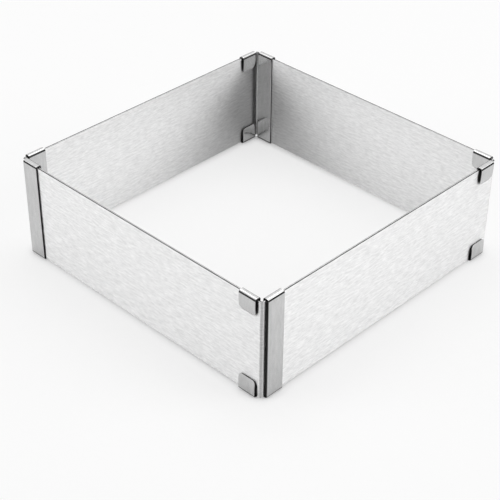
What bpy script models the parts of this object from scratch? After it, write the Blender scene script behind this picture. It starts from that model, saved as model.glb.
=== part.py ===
"""Adjustable square cake frame, at its smallest size: four L-shaped corner panels that slide in guide clips.

Lengths are in metres and +Z is up. The frame stands on Z = 0 with its centre over the origin.

Seen from outside at its corner, the left leg of every panel is the outer layer of its wall, and the right leg is
the inner layer of the next wall. So each panel, with its two clips, is the one before it turned by 90 degrees.
Each leg ends in a clip bent from one strip. The strip covers the leg's free side from top to bottom, and its folds
go over the leg and the neighbour's leg to short sprung flanges on the far side, so that the neighbour can slide.
"""

import math

import bmesh
import bpy
from mathutils import Matrix, Vector

# Driving dimensions of the frame
CLOSED_SIDE = 0.150
FRAME_HEIGHT = 0.050
CORNERS = ("front", "right", "back", "left")

# Corner panel
PANEL_SHEET = 0.0004
BEND_RADIUS = 0.0012
LEG_SETBACK = 0.0022

# Guide clip
CLIP_SHEET = 0.0004
CLIP_WIDTH = 0.0091
FLANGE_HEIGHT = 0.0085
FLANGE_CORNER = 0.0018
FOLD_RADIUS = 0.0011
LIP_TURN = math.radians(12)

# Clearances
SEAT_GAP = 0.0003
LAYER_GAP = 0.0003
SPRING_GAP = 0.0008
PINCH_GAP = 0.0003
FOLD_GAP = 0.0003
CLIP_CLEARANCE = 0.0009

# Fineness of the bends
BEND_STEP = math.radians(15)
FOLD_STEP = math.radians(9)
LIP_PARTS = 4
CORNER_STEPS = 5

# Places that follow from the sizes above
WALL_BOTTOM = CLIP_SHEET + FOLD_GAP
WALL_HEIGHT = FRAME_HEIGHT - 2 * WALL_BOTTOM
LAYER_PITCH = PANEL_SHEET + LAYER_GAP
CHANNEL_DEPTH = LAYER_PITCH + PANEL_SHEET + SPRING_GAP + CLIP_SHEET
OUTER_LEG = CLOSED_SIDE - LAYER_PITCH - LEG_SETBACK
INNER_LEG = CLOSED_SIDE - CHANNEL_DEPTH - CLIP_CLEARANCE


def clear_scene():
    """Removes what the new file starts with."""
    for obj in list(bpy.data.objects):
        bpy.data.objects.remove(obj)


def steel(name, grey, roughness):
    """Stainless steel of one grey and one roughness."""
    material = bpy.data.materials.new(name)
    material.use_nodes = True
    shader = material.node_tree.nodes["Principled BSDF"]
    shader.inputs["Base Color"].default_value = (grey, grey, grey, 1)
    shader.inputs["Metallic"].default_value = 1
    shader.inputs["Roughness"].default_value = roughness
    return material


def turns_of(moves, step):
    """The distances along a line at which each of its moves ends, with the bends divided into equal steps."""
    stations = [0]
    for length, turn in moves:
        parts = max(1, math.ceil(abs(turn) / step - 1e-6))
        begin = stations[-1]
        stations += [begin + length * part / parts for part in range(1, parts + 1)]
    return stations


def bent_line(start, heading, moves, stations):
    """Points of a line of straight runs and arcs, at the given distances from its start.

    Each move is a length and the angle that the heading turns over it. Over an arc the curvature k is turn over
    length, and the point at distance d is the start plus ((sin(h + kd) - sin h) / k, (cos h - cos(h + kd)) / k).
    """
    points = []
    begin = 0
    x, y = start
    for index, (length, turn) in enumerate(moves):
        last = index == len(moves) - 1
        bend = turn / length
        reach = [d - begin for d in stations if begin <= d and (d < begin + length or last)]
        for d in reach + [length]:
            if bend:
                step = (math.sin(heading + bend * d) - math.sin(heading)) / bend
                rise = (math.cos(heading) - math.cos(heading + bend * d)) / bend
            else:
                step = d * math.cos(heading)
                rise = d * math.sin(heading)
            points.append((x + step, y + rise))
        x, y = points.pop()
        heading += turn
        begin += length
    return points


def object_from(name, mesh, parent, material, sheet):
    """An object on its corner's empty, with the sheet's thickness laid half to each side of the mesh."""
    obj = bpy.data.objects.new(name, mesh)
    obj.parent = parent
    obj.data.materials.append(material)
    parts.objects.link(obj)
    thickness = obj.modifiers.new("sheet", "SOLIDIFY")
    thickness.thickness = sheet
    thickness.offset = 0
    thickness.use_even_offset = True
    return obj


def panel_mesh():
    """The middle of the panel's sheet: its plan is a line with one bend, drawn up to the wall's height.

    The outer faces of the two legs would meet at the mesh's origin if the bend were sharp.
    """
    middle = PANEL_SHEET / 2
    radius = BEND_RADIUS - middle
    moves = [
        (OUTER_LEG - BEND_RADIUS, 0),
        (radius * math.pi / 2, math.pi / 2),
        (INNER_LEG - BEND_RADIUS, 0),
    ]
    plan = bent_line((-OUTER_LEG, middle), 0, moves, turns_of(moves, BEND_STEP))
    form = bmesh.new()
    foot = [form.verts.new((x, y, WALL_BOTTOM)) for x, y in plan]
    edges = [form.edges.new(pair) for pair in zip(foot, foot[1:])]
    drawn = bmesh.ops.extrude_edge_only(form, edges=edges)
    top = [item for item in drawn["geom"] if isinstance(item, bmesh.types.BMVert)]
    bmesh.ops.translate(form, verts=top, vec=(0, 0, WALL_HEIGHT))
    return finished_mesh("corner_panel", form)


def clip_mesh():
    """The middle of the upper half of a clip, open at mid-height, where its mirror image joins it.

    Across is X, from the strip at 0 to the flange, and the clip's width lies along Y from 0. The line starts at
    the flange's free edge, leans out over the lip, and goes up the flange, over the fold and down the strip.
    """
    middle = CLIP_SHEET / 2
    radius = FOLD_RADIUS - middle
    span = SEAT_GAP + CHANNEL_DEPTH
    draw_in = SPRING_GAP + middle - PINCH_GAP - middle * math.cos(LIP_TURN)
    lip_radius = draw_in / (1 - math.cos(LIP_TURN))
    top = FRAME_HEIGHT / 2 - middle
    free_edge = FRAME_HEIGHT / 2 - FLANGE_HEIGHT
    lip = (lip_radius * LIP_TURN / LIP_PARTS, LIP_TURN / LIP_PARTS)
    moves = [lip] * LIP_PARTS + [
        (top - radius - free_edge - lip_radius * math.sin(LIP_TURN), 0),
        (radius * math.pi / 2, math.pi / 2),
        (span - 2 * radius, 0),
        (radius * math.pi / 2, math.pi / 2),
        (top - radius, 0),
    ]
    corner = [
        FLANGE_CORNER * (1 - math.cos(math.pi / 2 * part / CORNER_STEPS)) for part in range(1, CORNER_STEPS)
    ]
    stations = sorted(corner + [d for d in turns_of(moves, FOLD_STEP) if not 0 < d < FLANGE_CORNER])
    line = bent_line((span - draw_in, free_edge), math.pi / 2 - LIP_TURN, moves, stations)
    form = bmesh.new()
    rows = []
    for (across, up), distance in zip(line, stations):
        left_out = max(0, FLANGE_CORNER - distance)
        inset = FLANGE_CORNER - math.sqrt(FLANGE_CORNER**2 - left_out**2)
        rows.append([form.verts.new((across, y, up)) for y in (inset, CLIP_WIDTH - inset)])
    for (a, b), (c, d) in zip(rows, rows[1:]):
        form.faces.new((a, b, d, c))
    return finished_mesh("guide_clip", form)


def finished_mesh(name, form):
    """A mesh from the form, shaded smooth over its bends."""
    bmesh.ops.recalc_face_normals(form, faces=form.faces)
    mesh = bpy.data.meshes.new(name)
    form.to_mesh(mesh)
    form.free()
    mesh.shade_smooth()
    return mesh


def add_clip(name, mesh, parent, material, place):
    """A clip whose lower half mirrors its upper half about mid-height."""
    obj = object_from(name, mesh, parent, material, CLIP_SHEET)
    mirror = obj.modifiers.new("lower half", "MIRROR")
    mirror.use_axis = (False, False, True)
    mirror.merge_threshold = 0.00001
    obj.modifiers.move(obj.modifiers.find(mirror.name), 0)
    obj.matrix_local = place
    return obj


def clip_places():
    """Where the two clips of a panel stand, from the panel's own corner.

    The outer clip's strip lies outside the outer leg, and the inner clip's strip lies inside the inner leg.
    """
    half_height = Matrix.Translation((0, 0, FRAME_HEIGHT / 2))
    strip = SEAT_GAP + CLIP_SHEET / 2
    outer = Matrix.Translation((-OUTER_LEG + CLIP_WIDTH, -strip, 0)) @ Matrix.Rotation(math.pi / 2, 4, "Z")
    inner = Matrix.Translation((-PANEL_SHEET - strip, INNER_LEG - CLIP_WIDTH, 0))
    return {"outer": half_height @ outer, "inner": half_height @ inner}


def add_corner(corner, turn):
    """One panel with its two clips, on an empty at the panel's corner."""
    empty = bpy.data.objects.new(corner + "_corner", None)
    parts.objects.link(empty)
    at = Vector((CLOSED_SIDE / 2 - LAYER_PITCH, -CLOSED_SIDE / 2, 0))
    empty.matrix_world = Matrix.Rotation(turn, 4, "Z") @ Matrix.Translation(at)
    sheet = steel("panel_steel_" + corner, 0.78, 0.34)
    object_from("corner_panel_" + corner, panel_mesh(), empty, sheet, PANEL_SHEET)
    for layer, place in clip_places().items():
        name = layer + "_guide_clip_" + corner
        add_clip(name, clip_mesh(), empty, steel("clip_steel_" + name, 0.6, 0.2), place)


clear_scene()
parts = bpy.data.collections.new("adjustable_cake_frame")
bpy.context.scene.collection.children.link(parts)
for order, corner_name in enumerate(CORNERS):
    add_corner(corner_name, order * math.pi / 2)
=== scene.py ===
"""Adjustable cake frame in brushed steel, on a pale floor in soft studio light.

Lengths are in metres. The panels and clips are surfaces worked out with numpy, each in the place of its
solid. Every panel and its two clips are worked out for the front corner, and turned by quarter turns to
their own.
"""

import bpy
import numpy as np
from mathutils import Matrix, Vector


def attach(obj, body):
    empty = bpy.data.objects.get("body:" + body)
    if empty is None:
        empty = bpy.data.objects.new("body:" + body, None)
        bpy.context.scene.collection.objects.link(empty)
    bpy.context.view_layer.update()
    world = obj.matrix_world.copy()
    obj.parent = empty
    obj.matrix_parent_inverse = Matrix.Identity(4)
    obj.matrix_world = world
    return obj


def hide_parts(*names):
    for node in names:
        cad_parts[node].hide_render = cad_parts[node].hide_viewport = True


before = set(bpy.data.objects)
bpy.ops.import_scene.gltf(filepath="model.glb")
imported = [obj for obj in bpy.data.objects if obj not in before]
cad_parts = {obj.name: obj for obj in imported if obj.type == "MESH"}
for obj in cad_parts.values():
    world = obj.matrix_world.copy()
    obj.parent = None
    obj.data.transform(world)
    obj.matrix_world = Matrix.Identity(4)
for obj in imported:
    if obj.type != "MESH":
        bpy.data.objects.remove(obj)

# Sizes of the frame, as in its solids
CLOSED_SIDE = 0.150
FRAME_HEIGHT = 0.050
CORNERS = ("front", "right", "back", "left")
PANEL_SHEET = 0.0004
BEND_RADIUS = 0.0012
LEG_SETBACK = 0.0022
CLIP_SHEET = 0.0004
CLIP_WIDTH = 0.0091
FLANGE_HEIGHT = 0.0085
FLANGE_CORNER = 0.0018
FOLD_RADIUS = 0.0011
LIP_TURN = np.radians(12)
SEAT_GAP = 0.0003
LAYER_GAP = 0.0003
SPRING_GAP = 0.0008
PINCH_GAP = 0.0003
FOLD_GAP = 0.0003
CLIP_CLEARANCE = 0.0009
WALL_BOTTOM = CLIP_SHEET + FOLD_GAP
WALL_HEIGHT = FRAME_HEIGHT - 2 * WALL_BOTTOM
LAYER_PITCH = PANEL_SHEET + LAYER_GAP
CHANNEL_DEPTH = LAYER_PITCH + PANEL_SHEET + SPRING_GAP + CLIP_SHEET
OUTER_LEG = CLOSED_SIDE - LAYER_PITCH - LEG_SETBACK
INNER_LEG = CLOSED_SIDE - CHANNEL_DEPTH - CLIP_CLEARANCE

# Rounding of the cut edges, and the narrow band beside them that keeps their painted shade off the faces
EDGE_ROUND = 0.00008
EDGE_BAND = 0.0001

# Fineness of the surfaces
EDGE_STEPS = 4
BEND_STEPS = 20
LEG_STEPS = 60
LIP_STEPS = 20
FLANGE_STEPS = 4
CROWN_STEPS = 3
STRIP_STEPS = 24
PANEL_ROWS = 24
CLIP_ROWS = 7
SHARP_ANGLE = np.radians(50)

# Camera of the photograph, from the fit to its corners and clips
CAMERA_AZIMUTH = np.radians(44.15)
CAMERA_ELEVATION = np.radians(35.17)
CAMERA_ROLL = np.radians(0.54)
CAMERA_DISTANCE = 0.6335
CAMERA_RIGHT = -0.00378
CAMERA_UP = -0.00030
CAMERA_LENS = 97.6
CAMERA_NEAR = 0.01
SENSOR_WIDTH = 36.0

# Floor: its own tone, and how far it is lifted to white for the camera and in the steel
FLOOR_REACH = 6.0
FLOOR_TONE = 0.92
FLOOR_ROUGHNESS = 0.9
FLOOR_SPECULAR = 0.1
FLOOR_LIFT = 0.69
FLOOR_LIFT_IN_STEEL = 0.3
CONTACT_REACH = 0.004
CONTACT_SAMPLES = 8

# Room: its light on the object, and how the steel sees it low down and on the side of the camera
ROOM_STRENGTH = 0.45
HORIZON_TONE = 0.1
HORIZON_TOP = 0.35
FRONT_FROM = 0.4
FRONT_TO = 0.92
FRONT_TONE = 0.2

# Lamps, aimed at the frame from a direction given in degrees
SOFTBOXES = {
    "left_softbox": {"azimuth": -37, "elevation": 24, "distance": 1.2, "size": 0.75, "radiance": 2.1},
    "right_softbox": {"azimuth": 127, "elevation": 28, "distance": 1.2, "size": 0.75, "radiance": 2.6},
    "top_softbox": {"azimuth": 225, "elevation": 70, "distance": 1.2, "size": 1.0, "radiance": 1.8},
}

# Steel of the panels and of the clips; the grain's scale is given across and along the sheet
PANEL_STEEL = {
    "grey": 0.76,
    "spread": 0.13,
    "roughness": 0.5,
    "anisotropy": 0.88,
    "scale": (2600.0, 440.0),
    # the next two greys are painted shade, on the cut edges and on the faces in the channel towards the
    # walls
    "edge_shade_grey": 0.04,
    "channel_shade_grey": 0.1,
    "bump": 0.1,
}
CLIP_STEEL = {
    "grey": 0.62,
    "spread": 0.06,
    "roughness": 0.18,
    "anisotropy": 0.3,
    "scale": (1200.0, 260.0),
    # the next two greys are painted shade, on the cut edges and on the faces in the channel towards the
    # walls
    "edge_shade_grey": 0.1,
    "channel_shade_grey": 0.01,
    "bump": 0.03,
}

# Grain of both steels: fine streaks mixed with broad ones that are this many times as large
BROAD_GRAIN = 2.5
BROAD_SHARE = 0.5
FINE_DETAIL = 3.0
BROAD_DETAIL = 2.0
DETAIL_SHARE = 0.6
GRAIN_CONTRAST = 2.0
GRAIN_DEPTH = 0.00002
ROUGHNESS_SPREAD = 0.06

# Painted dark reflection along the folds, between two tilts of the sheet from level
FOLD_REFLECTION_GREY = 0.03
FOLD_REFLECTION_FROM = np.radians(44)
FOLD_REFLECTION_TO = np.radians(88)

# How much of the cut edges' painted shade the inner legs and the clips' strips show
INNER_LEG_EDGE_SHADE = 0.35
STRIP_EDGE_SHADE = {"outer": 1.0, "inner": 0.0}


def direction(azimuth, elevation):
    """Unit vector to a place seen from the origin: (sin a cos e, -cos a cos e, sin e)."""
    return Vector((
        np.sin(azimuth) * np.cos(elevation),
        -np.cos(azimuth) * np.cos(elevation),
        np.sin(elevation),
    ))


def rounded_section(half_width, half_thickness, rows):
    """Closed outline of a flat sheet with rounded cut edges, and which of its points are cut or behind.

    Along each face the width w runs straight between the roundings, at thickness +t and then -t, with a
    narrow band at both ends. Each cut edge is a half ellipse of depth e: (w - e + e sin q, t cos q). Returns
    the width and the thickness of every point, 1 for those on the cut edges, and 1 for those of the face
    at -t.
    """
    reach = half_width - EDGE_ROUND
    flat = np.concatenate([[-reach], np.linspace(EDGE_BAND - reach, reach - EDGE_BAND, rows), [reach]])
    quarter = np.linspace(0, np.pi, 2 * EDGE_STEPS + 1)[1:-1]
    nose = reach + EDGE_ROUND * np.sin(quarter)
    face = np.ones(len(flat))
    edge = np.ones(len(quarter))
    width = np.concatenate([flat, nose, flat[::-1], -nose])
    thickness = half_thickness * np.concatenate([face, np.cos(quarter), -face, -np.cos(quarter)])
    edge_shade = np.concatenate([0 * face, edge, 0 * face, edge])
    behind = np.concatenate([0 * face, 0 * edge, face, 0 * edge])
    return width, thickness, edge_shade, behind


def outline_distance(a, b):
    """Distance round a closed outline at each of its points, and once more at its first point."""
    steps = np.hypot(np.diff(np.append(a, a[0])), np.diff(np.append(b, b[0])))
    return np.append(0.0, np.cumsum(steps))


def line_of(moves, start, heading, steps):
    """Points and normals of a line of straight runs and arcs, and each point's distance from its start.

    A move is a length and a turn. With curvature k = turn / length, the point at distance d of a move from
    the heading h is ((sin(h + kd) - sin h) / k, (cos h - cos(h + kd)) / k), or d (cos h, sin h) where it is
    straight. The normal of heading h is (sin h, -cos h).
    """
    x, y = start
    points, headings, distances = [], [], []
    gone = 0.0
    for (length, turn), count in zip(moves, steps):
        d = np.linspace(0, length, count + 1)
        bend = turn / length
        after = heading + bend * d
        if bend:
            across = (np.sin(after) - np.sin(heading)) / bend
            up = (np.cos(heading) - np.cos(after)) / bend
        else:
            across = d * np.cos(heading)
            up = d * np.sin(heading)
        points.append(np.stack([x + across, y + up], 1)[:-1])
        headings.append(after[:-1])
        distances.append(gone + d[:-1])
        x, y = x + across[-1], y + up[-1]
        heading = after[-1]
        gone += length
    points = np.concatenate(points + [[[x, y]]])
    headings = np.append(np.concatenate(headings), heading)
    distances = np.append(np.concatenate(distances), gone)
    normals = np.stack([np.sin(headings), -np.cos(headings)], 1)
    return points, normals, distances


def steel_surface(name, points, along, around, shares):
    """A closed surface through a grid of points: stations along the sheet by points around its section.

    Each quad joins two neighbouring stations and two neighbouring section points, and one flat face closes
    each end. The UV map holds (distance around the section, distance along the sheet), and each share is an
    attribute.
    """
    stations, sides = points.shape[:2]
    step, place = np.meshgrid(np.arange(stations - 1), np.arange(sides), indexing="ij")
    here = step * sides + place
    ahead = step * sides + (place + 1) % sides
    quads = np.stack([here, here + sides, ahead + sides, ahead], -1).reshape(-1, 4)
    quad_around = around[np.stack([place, place, place + 1, place + 1], -1)]
    quad_along = along[np.stack([step, step + 1, step + 1, step], -1)]
    ring = np.arange(sides)
    last = (stations - 1) * sides
    faces = quads.tolist() + [ring.tolist(), (last + ring[::-1]).tolist()]
    loops = np.concatenate([
        np.stack([quad_around, quad_along], -1).reshape(-1, 2),
        np.stack([around[ring], np.full(sides, along[0])], -1),
        np.stack([around[ring[::-1]], np.full(sides, along[-1])], -1),
    ])
    mesh = bpy.data.meshes.new(name)
    mesh.from_pydata(points.reshape(-1, 3).tolist(), [], faces)
    layer = mesh.uv_layers.new(name="grain")
    layer.data.foreach_set("uv", loops.astype(np.float32).ravel())
    for key, values in shares.items():
        share = mesh.attributes.new(key, "FLOAT", "POINT")
        spread_out = np.broadcast_to(values, (stations, sides))
        share.data.foreach_set("value", spread_out.astype(np.float32).ravel())
    mesh.shade_smooth()
    mesh.set_sharp_from_angle(angle=SHARP_ANGLE)
    return mesh


def panel_points():
    """Corner panel: its flat upright section carried along a plan line with one bend.

    A point at thickness t of the section lies at the plan line's point plus t times its normal. The share of
    painted shade on the cut edges is 1 on the outer leg's long edges and at both ends, where narrow bands
    bound it, and less on the inner leg's long edges.
    """
    middle = PANEL_SHEET / 2
    radius = BEND_RADIUS - middle
    band = (EDGE_BAND, 0.0)
    moves = [
        band,
        (OUTER_LEG - BEND_RADIUS - EDGE_BAND, 0.0),
        (radius * np.pi / 2, np.pi / 2),
        (INNER_LEG - BEND_RADIUS - EDGE_BAND, 0.0),
        band,
    ]
    steps = (1, LEG_STEPS, BEND_STEPS, LEG_STEPS, 1)
    line, normals, along = line_of(moves, (-OUTER_LEG, middle), 0.0, steps)
    up, out, edge_shade, _ = rounded_section(WALL_HEIGHT / 2, PANEL_SHEET / 2, PANEL_ROWS)
    plan = line[:, None, :] + normals[:, None, :] * out[None, :, None]
    height = np.broadcast_to(FRAME_HEIGHT / 2 + up, plan.shape[:2])
    points = np.concatenate([plan, height[..., None]], -1)
    # painted shade on the cut edges: less on the inner leg's long edges, full at both ends
    edge_shade = edge_shade[None, :] * np.where(along > OUTER_LEG, INNER_LEG_EDGE_SHADE, 1.0)[:, None]
    edge_shade[[0, -1]] = 1
    return points, along, outline_distance(up, out), {"edge_shade": edge_shade}


def clip_points(strip_edge_shade):
    """Guide clip: its flat section carried from the upper lip over the fold, down the strip and back.

    A point at thickness t of the section lies at the line's point plus t times its normal. The section's
    half width shrinks over the last c of the line at each end by c - sqrt(c^2 - (c - d)^2), d being the
    distance from the end, which rounds the flanges' corners. The share of painted dark reflection is 1 where
    a fold's sheet is tilted between its limits. The share of painted shade in the channel is 1 on the face
    towards the walls and at the free edges. The strip's share of painted shade on its cut edges is given,
    and the other cut edges have 1.
    """
    middle = CLIP_SHEET / 2
    radius = FOLD_RADIUS - middle
    span = SEAT_GAP + CHANNEL_DEPTH
    draw_in = SPRING_GAP + middle - PINCH_GAP - middle * np.cos(LIP_TURN)
    lip_radius = draw_in / (1 - np.cos(LIP_TURN))
    top = FRAME_HEIGHT / 2 - middle
    free_edge = FRAME_HEIGHT / 2 - FLANGE_HEIGHT
    lip = (lip_radius * LIP_TURN, LIP_TURN)
    flange = (top - radius - free_edge - lip_radius * np.sin(LIP_TURN), 0.0)
    fold = (radius * np.pi / 2, np.pi / 2)
    crown = (span - 2 * radius, 0.0)
    strip = (2 * (top - radius), 0.0)
    half = [lip, flange, fold, crown, fold]
    half_steps = [LIP_STEPS, FLANGE_STEPS, BEND_STEPS, CROWN_STEPS, BEND_STEPS]
    moves = half + [strip] + half[::-1]
    steps = half_steps + [STRIP_STEPS] + half_steps[::-1]
    line, normals, along = line_of(moves, (span - draw_in, free_edge), np.pi / 2 - LIP_TURN, steps)
    across, height = line.T
    width, out, edge_shade, behind = rounded_section(CLIP_WIDTH / 2, CLIP_SHEET / 2, CLIP_ROWS)

    left_out = np.clip(FLANGE_CORNER - np.minimum(along, along[-1] - along), 0, None)
    inset = FLANGE_CORNER - np.sqrt(FLANGE_CORNER**2 - left_out**2)
    wide = width[None, :] * (1 - inset[:, None] / (CLIP_WIDTH / 2))
    plan = line[:, None, :] + normals[:, None, :] * out[None, :, None]
    points = np.stack([plan[..., 0], CLIP_WIDTH / 2 - wide, FRAME_HEIGHT / 2 + plan[..., 1]], -1)

    tilt = np.arctan2(np.abs(normals[:, 0]), np.abs(normals[:, 1]))
    # painted dark reflection along the folds, where the sheet is tilted between two limits
    fold_reflection = (tilt > FOLD_REFLECTION_FROM) & (tilt < FOLD_REFLECTION_TO) & (np.abs(height) > top - FOLD_RADIUS)
    on_strip = (np.abs(height) < top - radius) & (across < span / 2)
    # painted shade on the cut edges, as given on the strip
    edge_shade = edge_shade[None, :] * np.where(on_strip, strip_edge_shade, 1.0)[:, None]
    # painted shade in the channel, on the face towards the walls and at the free edges
    channel_shade = np.broadcast_to(behind, plan.shape[:2]).copy()
    channel_shade[[0, -1]] = 1
    shares = {"edge_shade": edge_shade, "channel_shade": channel_shade, "fold_reflection": fold_reflection[:, None]}
    return points, along, outline_distance(width, out), shares


def turned(points, matrix):
    """All points of a grid, carried by a matrix."""
    m = np.array(matrix)
    return points @ m[:3, :3].T + m[:3, 3]


def node(tree, kind, values=None, **settings):
    """A shader node with its settings and unlinked inputs."""
    made = tree.nodes.new(kind)
    for key, value in settings.items():
        setattr(made, key, value)
    for key, value in (values or {}).items():
        made.inputs[key].default_value = value
    return made


def attribute(tree, name):
    """The value of one of the surface's shares."""
    return node(tree, "ShaderNodeAttribute", attribute_name=name).outputs["Fac"]


def grain(tree, scale, detail):
    """Noise drawn out along the sheet: the UV map times a scale for across and for along."""
    uv = node(tree, "ShaderNodeUVMap", uv_map="grain")
    mapping = node(tree, "ShaderNodeMapping", {"Scale": (scale[0], scale[1], 1)})
    values = {"Scale": 1.0, "Detail": detail, "Roughness": DETAIL_SHARE}
    noise = node(tree, "ShaderNodeTexNoise", values, noise_dimensions="2D")
    tree.links.new(uv.outputs["UV"], mapping.inputs["Vector"])
    tree.links.new(mapping.outputs["Vector"], noise.inputs["Vector"])
    return noise.outputs["Fac"]


def ranged(tree, value, low, high):
    """A value between 0 and 1 laid between two others."""
    laid = node(tree, "ShaderNodeMapRange", {"To Min": low, "To Max": high})
    tree.links.new(value, laid.inputs["Value"])
    return laid.outputs["Result"]


def smoothed(tree, value, start, end, low, high):
    """A value that goes smoothly from low, where another is at start, to high, where it is at end."""
    limits = {"From Min": start, "From Max": end, "To Min": low, "To Max": high}
    laid = node(tree, "ShaderNodeMapRange", limits, interpolation_type="SMOOTHSTEP")
    tree.links.new(value, laid.inputs["Value"])
    return laid.outputs["Result"]


def mixed(tree, share, first, second):
    """A value that goes from the first to the second, both values or outputs, with a share."""
    mix = node(tree, "ShaderNodeMix", data_type="FLOAT")
    for socket, value in (("Factor", share), ("A", first), ("B", second)):
        if isinstance(value, float):
            mix.inputs[socket].default_value = value
        else:
            tree.links.new(value, mix.inputs[socket])
    return mix.outputs["Result"]


def steel(name, grey, spread, roughness, anisotropy, scale, edge_shade_grey, channel_shade_grey, bump):
    """Stainless steel with a grain along the sheet, with painted shade on its cut edges and on the faces
    towards the walls, and a painted dark reflection along the folds.
    """
    material = bpy.data.materials.new(name)
    material.use_nodes = True
    tree = material.node_tree
    shader = tree.nodes["Principled BSDF"]
    shader.inputs["Metallic"].default_value = 1.0
    shader.inputs["Anisotropic"].default_value = anisotropy

    fine = grain(tree, scale, FINE_DETAIL)
    broad = grain(tree, (scale[0] / BROAD_GRAIN, scale[1] / BROAD_GRAIN), BROAD_DETAIL)
    streaks = mixed(tree, BROAD_SHARE, fine, broad)
    streaks = ranged(tree, streaks, 0.5 - GRAIN_CONTRAST / 2, 0.5 + GRAIN_CONTRAST / 2)

    tone = ranged(tree, streaks, grey - spread, grey + spread)
    # painted dark reflection along the folds
    tone = mixed(tree, attribute(tree, "fold_reflection"), tone, FOLD_REFLECTION_GREY)
    # painted shade on the cut edges
    tone = mixed(tree, attribute(tree, "edge_shade"), tone, edge_shade_grey)
    # painted shade in the channel towards the walls
    tone = mixed(tree, attribute(tree, "channel_shade"), tone, channel_shade_grey)
    colour = node(tree, "ShaderNodeCombineColor")
    for part in ("Red", "Green", "Blue"):
        tree.links.new(tone, colour.inputs[part])
    tree.links.new(colour.outputs["Color"], shader.inputs["Base Color"])

    sheen = ranged(tree, streaks, roughness - ROUGHNESS_SPREAD, roughness + ROUGHNESS_SPREAD)
    tree.links.new(sheen, shader.inputs["Roughness"])
    tangent = node(tree, "ShaderNodeTangent", direction_type="UV_MAP", uv_map="grain")
    tree.links.new(tangent.outputs["Tangent"], shader.inputs["Tangent"])
    raised = node(tree, "ShaderNodeBump", {"Strength": bump, "Distance": GRAIN_DEPTH})
    tree.links.new(fine, raised.inputs["Height"])
    tree.links.new(raised.outputs["Normal"], shader.inputs["Normal"])
    return material


def add_piece(name, mesh, material, body, replaced):
    """A piece in its place, riding on its body, in place of its solid."""
    piece = bpy.data.objects.new(name, mesh)
    bpy.context.scene.collection.objects.link(piece)
    mesh.materials.append(material)
    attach(piece, body)
    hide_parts(replaced)


def add_corner(order, corner, panel_steel, clip_steel):
    """The panel and the two clips of one corner.

    The outer clip's strip lies outside the outer leg, and the inner clip's strip lies inside the inner leg.
    """
    at = Matrix.Translation((CLOSED_SIDE / 2 - LAYER_PITCH, -CLOSED_SIDE / 2, 0))
    place = Matrix.Rotation(order * np.pi / 2, 4, "Z") @ at
    strip = SEAT_GAP + CLIP_SHEET / 2
    outer = Matrix.Translation((-OUTER_LEG + CLIP_WIDTH, -strip, 0)) @ Matrix.Rotation(np.pi / 2, 4, "Z")
    inner = Matrix.Translation((-PANEL_SHEET - strip, INNER_LEG - CLIP_WIDTH, 0))
    body = corner + "_corner"
    name = "panel_sheet_" + corner
    points, along, around, shares = panel_points()
    mesh = steel_surface(name, turned(points, place), along, around, shares)
    add_piece(name, mesh, panel_steel, body, "corner_panel_" + corner)
    for layer, shift in (("outer", outer), ("inner", inner)):
        name = layer + "_clip_" + corner
        points, along, around, shares = clip_points(STRIP_EDGE_SHADE[layer])
        mesh = steel_surface(name, turned(points, place @ shift), along, around, shares)
        add_piece(name, mesh, clip_steel, body, layer + "_guide_clip_" + corner)


def add_floor():
    """A pale floor, lifted towards white for the camera and a little in the steel, with the frame's shadow.

    Close to the frame it is lifted less, by the open share of what is above it, so that the contact shows.
    """
    corners = [(x * FLOOR_REACH, y * FLOOR_REACH, 0) for x, y in ((-1, -1), (1, -1), (1, 1), (-1, 1))]
    mesh = bpy.data.meshes.new("floor")
    mesh.from_pydata(corners, [], [(0, 1, 2, 3)])
    floor = bpy.data.objects.new("floor", mesh)
    bpy.context.scene.collection.objects.link(floor)
    material = bpy.data.materials.new("floor_white")
    material.use_nodes = True
    tree = material.node_tree
    shader = tree.nodes["Principled BSDF"]
    shader.inputs["Base Color"].default_value = (FLOOR_TONE, FLOOR_TONE, FLOOR_TONE, 1)
    shader.inputs["Roughness"].default_value = FLOOR_ROUGHNESS
    shader.inputs["Specular IOR Level"].default_value = FLOOR_SPECULAR
    path = node(tree, "ShaderNodeLightPath")
    to_camera = ranged(tree, path.outputs["Is Camera Ray"], 0.0, FLOOR_LIFT)
    lift = mixed(tree, path.outputs["Is Glossy Ray"], to_camera, FLOOR_LIFT_IN_STEEL)
    near = node(tree, "ShaderNodeAmbientOcclusion", {"Distance": CONTACT_REACH}, samples=CONTACT_SAMPLES)
    lift = mixed(tree, near.outputs["AO"], 0.0, lift)
    white = node(tree, "ShaderNodeEmission", {"Strength": 1.0})
    lifted = node(tree, "ShaderNodeMixShader")
    tree.links.new(lift, lifted.inputs["Fac"])
    tree.links.new(shader.outputs["BSDF"], lifted.inputs[1])
    tree.links.new(white.outputs["Emission"], lifted.inputs[2])
    tree.links.new(lifted.outputs["Shader"], tree.nodes["Material Output"].inputs["Surface"])
    mesh.materials.append(material)


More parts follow.
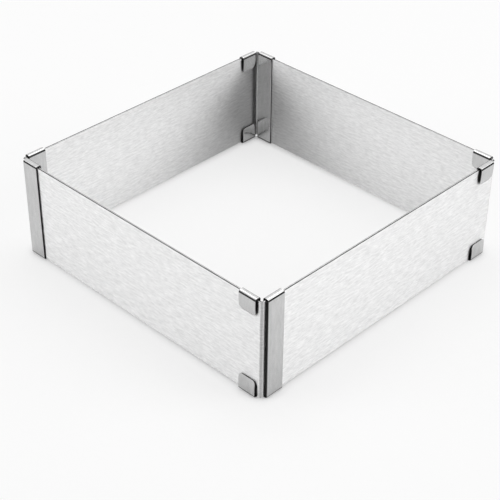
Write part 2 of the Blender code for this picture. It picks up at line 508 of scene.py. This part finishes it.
def set_world():
    """A pale room, which is white to the camera, and in the steel dimmer low down and in front.

    In the steel its strength is a smooth step of the direction's height, times a smooth step of how far the
    level direction points to where the photograph was taken from.
    """
    world = bpy.data.worlds.new("room")
    bpy.context.scene.world = world
    world.use_nodes = True
    tree = world.node_tree
    background = tree.nodes["Background"]
    background.inputs["Color"].default_value = (1, 1, 1, 1)
    path = node(tree, "ShaderNodeLightPath")
    sky = node(tree, "ShaderNodeTexCoord").outputs["Generated"]
    apart = node(tree, "ShaderNodeSeparateXYZ")
    tree.links.new(sky, apart.inputs["Vector"])
    rise = smoothed(tree, apart.outputs["Z"], 0.0, HORIZON_TOP, HORIZON_TONE, 1.0)

    flat = node(tree, "ShaderNodeVectorMath", {1: (1, 1, 0)}, operation="MULTIPLY")
    tree.links.new(sky, flat.inputs[0])
    level = node(tree, "ShaderNodeVectorMath", operation="NORMALIZE")
    tree.links.new(flat.outputs["Vector"], level.inputs[0])
    viewer = direction(CAMERA_AZIMUTH, 0)
    front = node(tree, "ShaderNodeVectorMath", {1: viewer}, operation="DOT_PRODUCT")
    tree.links.new(level.outputs["Vector"], front.inputs[0])
    dim = smoothed(tree, front.outputs["Value"], FRONT_FROM, FRONT_TO, 1.0, FRONT_TONE)

    in_steel = node(tree, "ShaderNodeMath", operation="MULTIPLY")
    tree.links.new(rise, in_steel.inputs[0])
    tree.links.new(dim, in_steel.inputs[1])
    elsewhere = mixed(tree, path.outputs["Is Camera Ray"], ROOM_STRENGTH, 1.0)
    strength = mixed(tree, path.outputs["Is Glossy Ray"], elsewhere, in_steel.outputs["Value"])
    tree.links.new(strength, background.inputs["Strength"])


def add_softbox(name, azimuth, elevation, distance, size, radiance):
    """A square area light aimed at the frame; its power is radiance times pi times its area."""
    light = bpy.data.lights.new(name, "AREA")
    light.shape = "SQUARE"
    light.size = size
    light.energy = radiance * np.pi * size**2
    lamp = bpy.data.objects.new(name, light)
    bpy.context.scene.collection.objects.link(lamp)
    away = direction(np.radians(azimuth), np.radians(elevation))
    lamp.location = away * distance
    lamp.rotation_euler = away.to_track_quat("Z", "Y").to_euler()


def add_camera():
    """The photograph's camera, which faces against its own direction from a little beside the centre."""
    outward = direction(CAMERA_AZIMUTH, CAMERA_ELEVATION)
    level = Vector((np.cos(CAMERA_AZIMUTH), np.sin(CAMERA_AZIMUTH), 0))
    right = Matrix.Rotation(CAMERA_ROLL, 3, outward) @ level
    up = outward.cross(right)
    camera = bpy.data.objects.new("camera", bpy.data.cameras.new("camera"))
    bpy.context.scene.collection.objects.link(camera)
    camera.data.lens = CAMERA_LENS
    camera.data.sensor_width = SENSOR_WIDTH
    camera.data.clip_start = CAMERA_NEAR
    at = outward * CAMERA_DISTANCE + right * CAMERA_RIGHT + up * CAMERA_UP
    camera.matrix_world = Matrix.Translation(at) @ Matrix((right, up, outward)).transposed().to_4x4()
    bpy.context.scene.camera = camera


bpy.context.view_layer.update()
bpy.context.scene.view_settings.view_transform = "Standard"
brushed = steel("brushed_panel_steel", **PANEL_STEEL)
smooth = steel("smooth_clip_steel", **CLIP_STEEL)
for order, corner_name in enumerate(CORNERS):
    add_corner(order, corner_name, brushed, smooth)
add_floor()
set_world()
for lamp_name, lamp_values in SOFTBOXES.items():
    add_softbox(lamp_name, **lamp_values)
add_camera()
